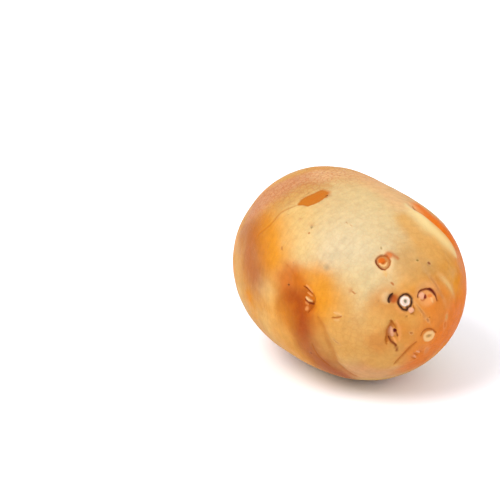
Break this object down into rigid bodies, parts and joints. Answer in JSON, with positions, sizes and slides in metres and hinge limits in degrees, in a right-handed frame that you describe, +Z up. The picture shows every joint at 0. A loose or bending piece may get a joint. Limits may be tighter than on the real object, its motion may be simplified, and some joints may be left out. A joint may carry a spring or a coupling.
{
  "type": "potato",
  "caption": "Whole unpeeled potato lying on its side on a small flat spot: an egg-shaped tuber with smooth yellow skin, shallow eyes crowded at one end and a stem scar at the other.",
  "frame": {"origin": "on the surface that the potato lies on, under the middle of its box", "axes": "+X along the long axis towards the rose end, where the eyes crowd together; +Y across it; +Z up, as the potato lies"},
  "size_m": [0.095, 0.071, 0.068],
  "materials": {
    "potato_skin": "thin smooth yellow-brown skin with a soft satin sheen, paler where it is stretched and darker in the eyes and hollows"
  },
  "bodies": {
    "root": {"potato": "potato_skin"}
  },
  "joints": []
}
